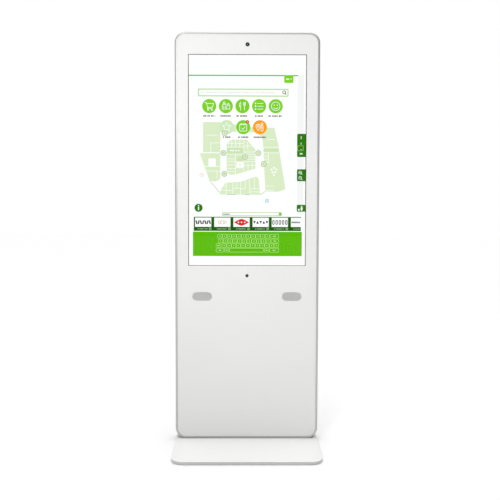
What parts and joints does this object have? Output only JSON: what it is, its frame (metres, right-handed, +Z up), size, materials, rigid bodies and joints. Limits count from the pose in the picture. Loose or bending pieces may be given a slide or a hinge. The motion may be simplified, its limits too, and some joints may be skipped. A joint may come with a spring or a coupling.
{
  "type": "touchscreen kiosk",
  "caption": "Free-standing touchscreen kiosk: slim white cabinet with a silver edge and rounded corners, portrait display, speakers, rear service door, on a flat base plate.",
  "frame": {"origin": "on the floor under the middle of the base plate", "axes": "+X to the viewer's right, the screen faces -Y, +Z up"},
  "size_m": [0.645, 0.5, 1.841],
  "materials": {
    "white_coat": "satin white powder coat with a very fine texture",
    "base_coat": "satin white powder coat",
    "satin_aluminium": "satin anodised aluminium",
    "pad_rubber": "black rubber",
    "zinc_steel": "zinc-plated steel",
    "black_foam": "black foam gasket",
    "screen_glass": "clear toughened glass",
    "display_film": "lit display",
    "clear_acrylic": "diffusing acrylic",
    "black_steel": "matt black paint",
    "black_plastic": "black moulded plastic",
    "lens_glass": "coated lens",
    "dark_window": "dark infrared window",
    "grille_steel": "light grey coat",
    "cone_paper": "pressed paper cone",
    "button_plastic": "silver button",
    "perforated_case": "galvanised case",
    "grey_plastic": "light grey moulded plastic",
    "dark_aluminium": "black anodised aluminium",
    "rocker_plastic": "red rocker",
    "hinge_steel": "white coated steel",
    "lock_chrome": "bright chrome",
    "fan_plastic": "black moulded plastic",
    "screw_steel": "stainless steel",
    "black_lead": "black cable sheath",
    "grey_lead": "dark grey cable sheath"
  },
  "bodies": {
    "kiosk_frame": {"amplifier": "dark_aluminium", "base_bolts": "zinc_steel", "base_pads": "pad_rubber", "base_plate": "base_coat", "bottom_profile": "satin_aluminium", "cable_grommet": "pad_rubber", "camera_housing": "black_plastic", "camera_lens": "lens_glass", "chassis_crossbars": "zinc_steel", "chassis_uprights": "zinc_steel", "circuit_breaker": "grey_plastic", "computer_case": "black_steel", "corner_bottom_left": "satin_aluminium", "corner_bottom_right": "satin_aluminium", "corner_top_left": "satin_aluminium", "corner_top_right": "satin_aluminium", "din_rail": "zinc_steel", "display_rails": "zinc_steel", "equipment_tray": "zinc_steel", "fan_frame_left": "black_plastic", "fan_frame_right": "black_plastic", "foot_plates": "zinc_steel", "front_panel": "white_coat", "hinge_fixed_leaves": "hinge_steel", "hinge_pins": "hinge_steel", "lcd_back_pan": "zinc_steel", "lcd_backlight": "clear_acrylic", "lcd_bezel": "black_steel", "lcd_cell": "display_film", "left_profile": "satin_aluminium", "mains_inlet": "black_plastic", "mains_leads": "black_lead", "power_supply": "perforated_case", "rear_cover": "white_coat", "rear_screws": "screw_steel", "right_profile": "satin_aluminium", "screen_gasket": "black_foam", "sensor_module": "black_plastic", "sensor_window": "dark_window", "signal_leads": "grey_lead", "speaker_basket_left": "black_steel", "speaker_basket_right": "black_steel", "speaker_cone_left": "cone_paper", "speaker_cone_right": "cone_paper", "speaker_grille_left": "grille_steel", "speaker_grille_right": "grille_steel", "speaker_nuts": "zinc_steel", "top_profile": "satin_aluminium", "touch_glass": "screen_glass"},
    "service_door": {"rear_door": "white_coat", "hinge_door_leaves": "hinge_steel", "lock_body": "lock_chrome", "lock_nut": "zinc_steel"},
    "door_lock": {"lock_plug": "lock_chrome", "lock_cam": "zinc_steel"},
    "left_fan": {"fan_rotor_left": "fan_plastic"},
    "right_fan": {"fan_rotor_right": "fan_plastic"},
    "power_rocker": {"inlet_rocker": "rocker_plastic"},
    "breaker_toggle": {"breaker_lever": "black_plastic"},
    "power_button": {"computer_button": "button_plastic"}
  },
  "joints": [
    {"name": "door_hinge", "type": "hinge", "parent": "kiosk_frame", "child": "service_door", "pos_m": [-0.221, 0.1095, 0.37], "axis": [0, 0, 1], "range_deg": [0, 110]},
    {"name": "lock_turn", "type": "hinge", "parent": "service_door", "child": "door_lock", "pos_m": [0.196, 0.104, 0.37], "axis": [0, 1, 0], "range_deg": [0, 90]},
    {"name": "left_fan_spin", "type": "hinge", "parent": "kiosk_frame", "child": "left_fan", "pos_m": [-0.07, 0.09, 1.64], "axis": [0, 1, 0], "continuous": true},
    {"name": "right_fan_spin", "type": "hinge", "parent": "kiosk_frame", "child": "right_fan", "pos_m": [0.07, 0.09, 1.64], "axis": [0, 1, 0], "continuous": true},
    {"name": "rocker_tilt", "type": "hinge", "parent": "kiosk_frame", "child": "power_rocker", "pos_m": [0.165, 0.099, 0.08], "axis": [-1, 0, 0], "range_deg": [0, 18]},
    {"name": "breaker_throw", "type": "hinge", "parent": "kiosk_frame", "child": "breaker_toggle", "pos_m": [0.114, 0.086, 0.28], "axis": [1, 0, 0], "range_deg": [0, 70]},
    {"name": "button_press", "type": "slide", "parent": "kiosk_frame", "child": "power_button", "axis": [0, -1, 0], "range_m": [0, 0.0015], "stiffness_N_per_m": 300}
  ]
}
